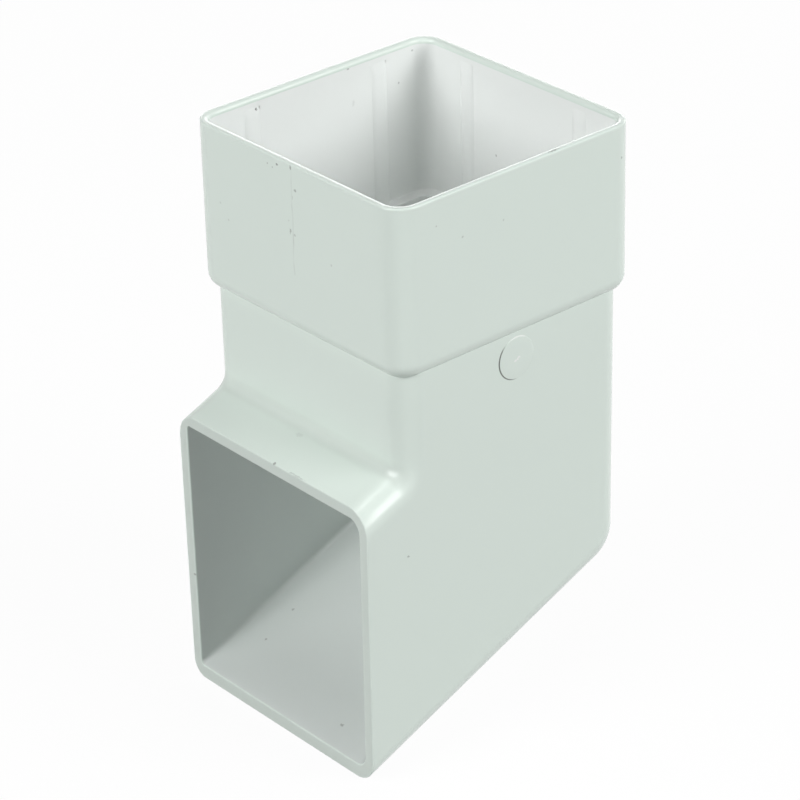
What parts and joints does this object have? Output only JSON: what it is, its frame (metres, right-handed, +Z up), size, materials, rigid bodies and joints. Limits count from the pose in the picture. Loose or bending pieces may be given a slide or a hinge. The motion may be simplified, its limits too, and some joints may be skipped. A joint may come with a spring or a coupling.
{
  "type": "downpipe shoe",
  "caption": "Square downpipe shoe in one pale moulding: a ribbed socket takes the pipe, and a stepped tube turns through a sloped chute to an upright mouth at the front.",
  "frame": {"origin": "on the pipe's axis, on the ledge in the socket that the pipe's end stands on", "axes": "+Z up the pipe, -Y out of the mouth, +Y towards the wall of the house, +X to the right of the mouth seen from the wall side"},
  "size_m": [0.071, 0.0803, 0.1432],
  "materials": {
    "moulding": "as moulded, satin, pale greenish white"
  },
  "bodies": {
    "root": {"downpipe_shoe": "moulding"}
  },
  "joints": []
}
